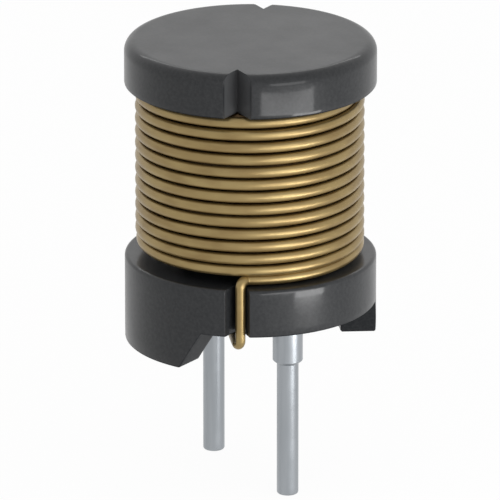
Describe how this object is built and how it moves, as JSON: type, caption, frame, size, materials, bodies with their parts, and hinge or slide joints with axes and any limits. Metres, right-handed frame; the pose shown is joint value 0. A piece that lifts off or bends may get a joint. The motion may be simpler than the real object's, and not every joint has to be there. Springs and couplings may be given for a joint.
{
  "type": "radial inductor",
  "caption": "Wire-wound ferrite drum inductor on two straight leads, with notched flanges and feet that stand on the board.",
  "frame": {"origin": "on the drum's axis, level with the undersides of its two feet", "axes": "+Z along the drum's axis, away from the leads; +X through the front lead, which is the one on the notch's side of the pictured view; the feet lie on Y"},
  "size_m": [0.0084, 0.0084, 0.0151],
  "materials": {
    "ferrite": "satin dark grey ferrite",
    "enamelled_wire": "glossy amber enamel over copper",
    "tinned_lead": "satin tin",
    "solder": "satin",
    "adhesive": "semi-gloss epoxy"
  },
  "bodies": {
    "root": {"drum_core": "ferrite", "winding": "enamelled_wire", "lead_pin_front": "tinned_lead", "lead_pin_rear": "tinned_lead", "solder_joint_front": "solder", "solder_joint_rear": "solder", "pin_adhesive_front": "adhesive", "pin_adhesive_rear": "adhesive"}
  },
  "joints": []
}
